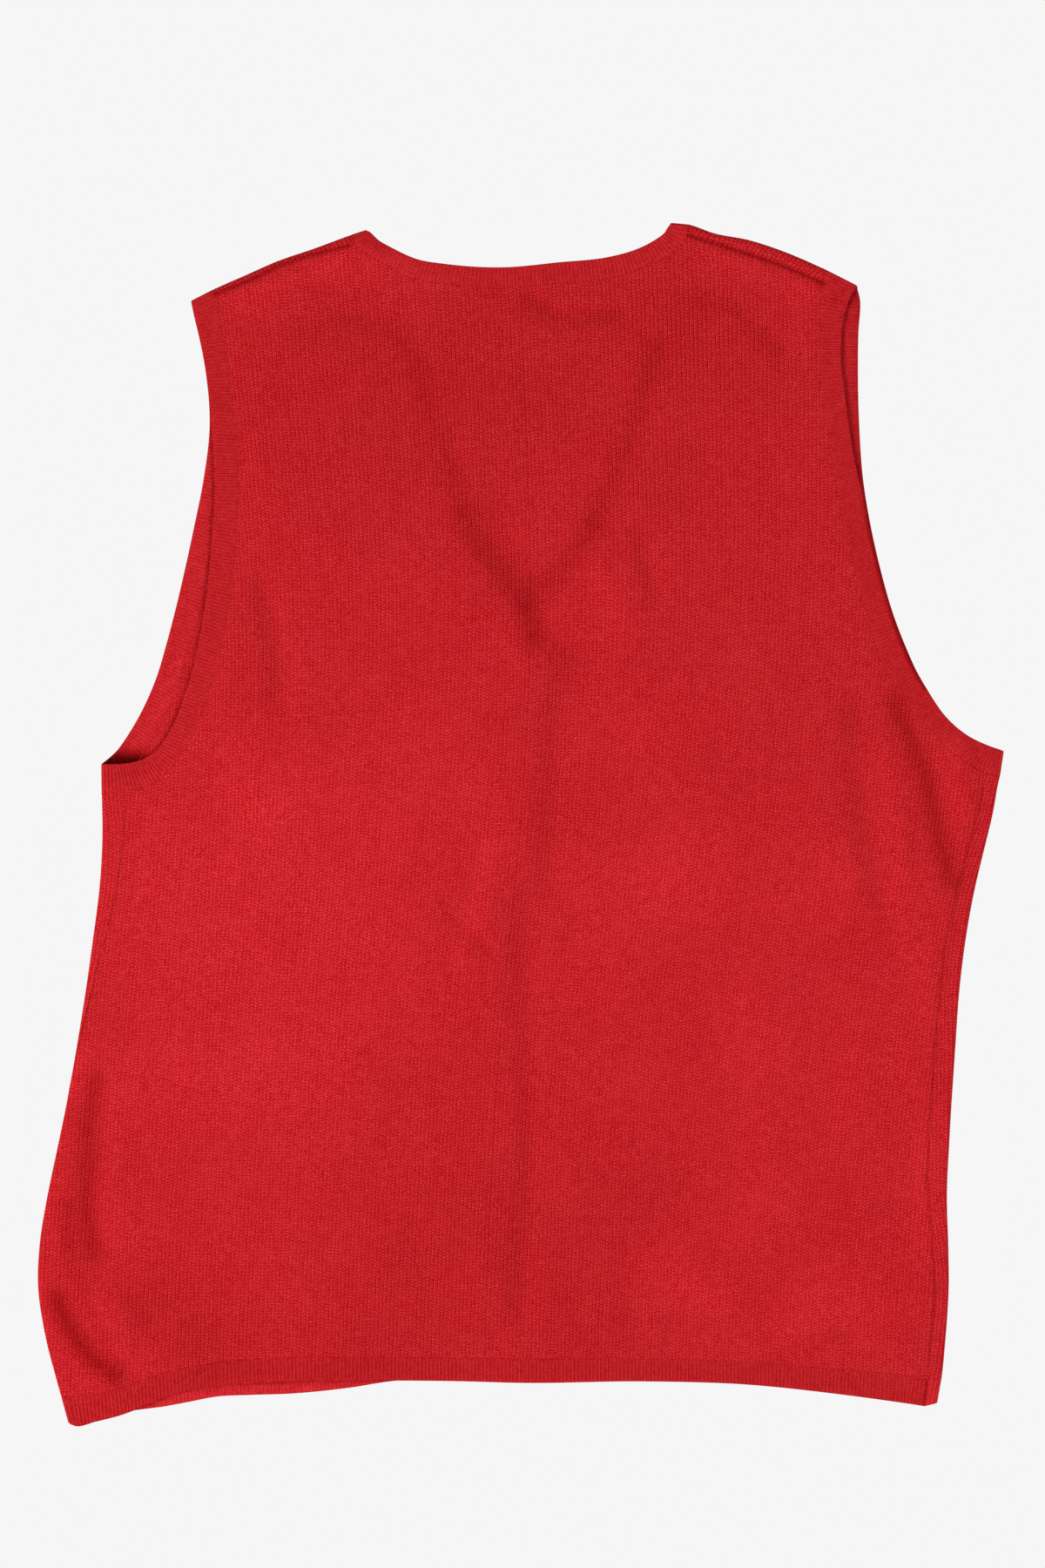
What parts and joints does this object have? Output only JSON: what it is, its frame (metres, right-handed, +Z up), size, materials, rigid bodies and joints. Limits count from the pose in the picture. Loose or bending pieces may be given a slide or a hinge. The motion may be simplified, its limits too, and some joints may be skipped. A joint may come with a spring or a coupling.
{
  "type": "sweater vest",
  "caption": "Knitted V-neck sweater vest lying flat with its back up: plain-knit back and front with rib bands at the neck, armholes and hem.",
  "frame": {"origin": "centre of the bounding box on the plane the vest lies on", "axes": "+Z up out of the resting plane, the side with the back on it; +Y from the hem towards the shoulders; +X to the right of the view from above"},
  "size_m": [0.5774, 0.7184, 0.0064],
  "materials": {
    "back_panel": "matt plain knit wool, red",
    "front_panel": "matt plain knit wool, red",
    "hem_rib_back": "matt 1x1 rib knit wool, red",
    "hem_rib_front": "matt 1x1 rib knit wool, red",
    "neckband": "matt 1x1 rib knit wool, red",
    "armhole_band_left": "matt 1x1 rib knit wool, red",
    "armhole_band_right": "matt 1x1 rib knit wool, red"
  },
  "bodies": {
    "root": {"back_panel": "back_panel", "front_panel": "front_panel", "hem_rib_back": "hem_rib_back", "hem_rib_front": "hem_rib_front", "neckband": "neckband", "armhole_band_left": "armhole_band_left", "armhole_band_right": "armhole_band_right"}
  },
  "joints": []
}
